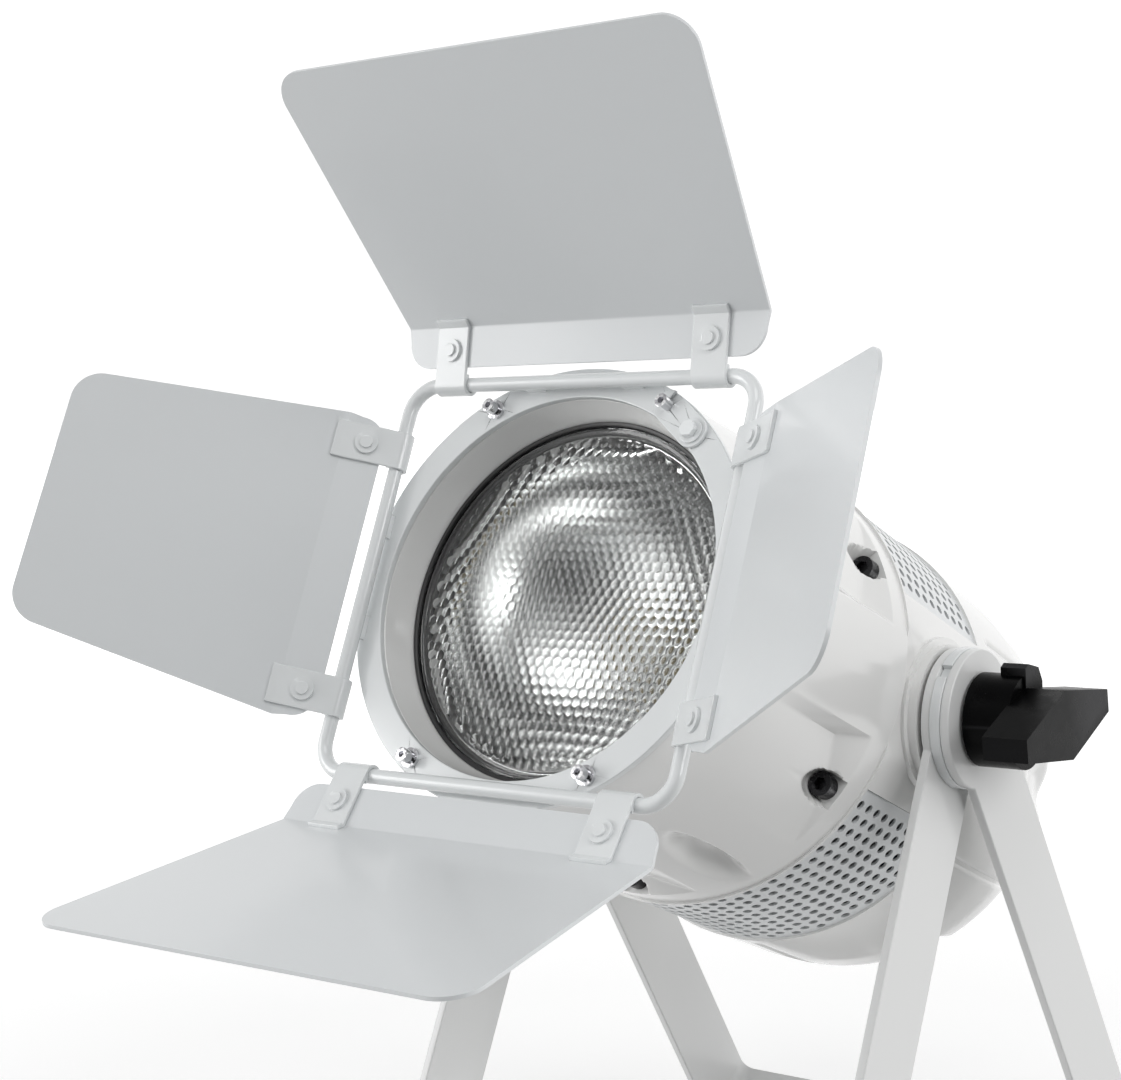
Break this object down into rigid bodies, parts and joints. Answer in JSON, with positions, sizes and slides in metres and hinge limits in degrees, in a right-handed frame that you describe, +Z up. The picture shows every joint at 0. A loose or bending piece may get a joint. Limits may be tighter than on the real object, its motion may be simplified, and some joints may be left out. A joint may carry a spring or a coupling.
{
  "type": "barn-door spotlight",
  "caption": "Round stage spotlight with a pebbled front glass, folding barn-door leaves and a folding double U bracket.",
  "frame": {"origin": "centre of the footprint on the floor, under the middle of the overall box", "axes": "+X towards the lamp's left side seen from the front, along the pivot axis; -Y is the side the beam leaves; +Z up"},
  "size_m": [0.3704, 0.5067, 0.5316],
  "materials": {
    "white_bracket": "satin white enamel",
    "white_casting": "gloss white enamel on die-cast aluminium",
    "white_sheet": "satin white enamel on sheet steel",
    "white_trim": "gloss white enamel",
    "black_plastic": "fine-textured black",
    "black_steel": "black oxide",
    "chrome_steel": "bright chrome",
    "zinc_steel": "zinc plated",
    "brass": "machined",
    "friction_fibre": "dry fibre",
    "clear_glass": "pressed hexagonal pebble pattern",
    "gasket": "semi-gloss black",
    "reflector": "polished vacuum metallising",
    "led_substrate": "matt",
    "phosphor": "silicone",
    "black_aluminium": "black anodised",
    "fan_plastic": "moulded black",
    "bare_steel": "plain sheet",
    "circuit_board": "solder mask",
    "panel_black": "fine texture",
    "display": "gloss",
    "button_grey": "soft touch",
    "inlet_blue": "moulded",
    "socket_black": "moulded"
  },
  "bodies": {
    "outer_bracket": {"outer_bracket": "white_bracket", "spacer_discs": "white_trim", "pivot_washers": "black_steel"},
    "inner_bracket": {"inner_bracket": "white_bracket"},
    "head": {"front_housing": "white_casting", "chassis_ring": "white_casting", "rear_cover": "white_casting", "top_grille": "white_sheet", "bottom_grille": "white_sheet", "housing_screws": "black_steel", "friction_discs": "friction_fibre", "pivot_studs": "zinc_steel", "lens": "clear_glass", "lens_gasket": "gasket", "reflector": "reflector", "led_board": "led_substrate", "led_emitter": "phosphor", "heat_sink": "black_aluminium", "fan_frame": "fan_plastic", "support_plate": "bare_steel", "power_supply": "bare_steel", "control_board": "circuit_board", "rear_panel": "panel_black", "display_window": "display", "power_inlet": "inlet_blue", "signal_input": "socket_black", "signal_output": "socket_black", "panel_screws": "zinc_steel", "safety_eye": "zinc_steel", "barn_door_ring": "white_trim", "rod_frame": "white_trim", "ring_screws": "chrome_steel", "latch_bolt": "white_trim"},
    "left_knob": {"left_knob": "black_plastic", "left_knob_insert": "brass"},
    "right_knob": {"right_knob": "black_plastic", "right_knob_insert": "brass"},
    "fan_rotor": {"fan_rotor": "fan_plastic"},
    "latch": {"latch": "white_trim"},
    "menu_button_1": {"menu_button_1": "button_grey"},
    "menu_button_2": {"menu_button_2": "button_grey"},
    "menu_button_3": {"menu_button_3": "button_grey"},
    "menu_button_4": {"menu_button_4": "button_grey"},
    "top_leaf": {"top_leaf": "white_sheet", "top_clips": "white_trim", "top_rivets": "white_trim"},
    "bottom_leaf": {"bottom_leaf": "white_sheet", "bottom_clips": "white_trim", "bottom_rivets": "white_trim"},
    "left_leaf": {"left_leaf": "white_sheet", "left_clips": "white_trim", "left_rivets": "white_trim"},
    "right_leaf": {"right_leaf": "white_sheet", "right_clips": "white_trim", "right_rivets": "white_trim"}
  },
  "joints": [
    {"name": "bracket_fold", "type": "hinge", "parent": "outer_bracket", "child": "inner_bracket", "pos_m": [0, 0.0694, 0.25842], "axis": [1, 0, 0], "range_deg": [0, 59]},
    {"name": "head_tilt", "type": "hinge", "parent": "outer_bracket", "child": "head", "pos_m": [0, 0.0694, 0.25842], "axis": [-1, 0, 0], "range_deg": [-30, 90]},
    {"name": "left_knob_turn", "type": "hinge", "parent": "head", "child": "left_knob", "pos_m": [-0.12, 0.0694, 0.25842], "axis": [-1, 0, 0], "continuous": true},
    {"name": "right_knob_turn", "type": "hinge", "parent": "head", "child": "right_knob", "pos_m": [0.12, 0.0694, 0.25842], "axis": [1, 0, 0], "continuous": true},
    {"name": "top_leaf_hinge", "type": "hinge", "parent": "head", "child": "top_leaf", "pos_m": [0, -0.04359, 0.40467], "axis": [-1, 0, 0], "range_deg": [-47, 33]},
    {"name": "bottom_leaf_hinge", "type": "hinge", "parent": "head", "child": "bottom_leaf", "pos_m": [0, -0.11535, 0.25354], "axis": [1, 0, 0], "range_deg": [-47, 33]},
    {"name": "left_leaf_hinge", "type": "hinge", "parent": "head", "child": "left_leaf", "pos_m": [-0.08506, -0.07947, 0.3291], "axis": [0, -0.4289, -0.9033], "range_deg": [-79, 45]},
    {"name": "right_leaf_hinge", "type": "hinge", "parent": "head", "child": "right_leaf", "pos_m": [0.08506, -0.07947, 0.3291], "axis": [0, 0.4289, 0.9033], "range_deg": [-82.7, 41.3]},
    {"name": "latch_turn", "type": "hinge", "parent": "head", "child": "latch", "pos_m": [0.05641, -0.04826, 0.38364], "axis": [0, -0.9033, 0.4289], "range_deg": [0, 100]},
    {"name": "fan_spin", "type": "hinge", "parent": "head", "child": "fan_rotor", "pos_m": [0, 0.07843, 0.25413], "axis": [0, -0.9033, 0.4289], "continuous": true},
    {"name": "menu_button_1_press", "type": "slide", "parent": "head", "child": "menu_button_1", "axis": [0, -0.9033, 0.4289], "range_m": [0, 0.0012], "stiffness_N_per_m": 400, "springref_m": -0.0005},
    {"name": "menu_button_2_press", "type": "slide", "parent": "head", "child": "menu_button_2", "axis": [0, -0.9033, 0.4289], "range_m": [0, 0.0012], "stiffness_N_per_m": 400, "springref_m": -0.0005},
    {"name": "menu_button_3_press", "type": "slide", "parent": "head", "child": "menu_button_3", "axis": [0, -0.9033, 0.4289], "range_m": [0, 0.0012], "stiffness_N_per_m": 400, "springref_m": -0.0005},
    {"name": "menu_button_4_press", "type": "slide", "parent": "head", "child": "menu_button_4", "axis": [0, -0.9033, 0.4289], "range_m": [0, 0.0012], "stiffness_N_per_m": 400, "springref_m": -0.0005}
  ]
}
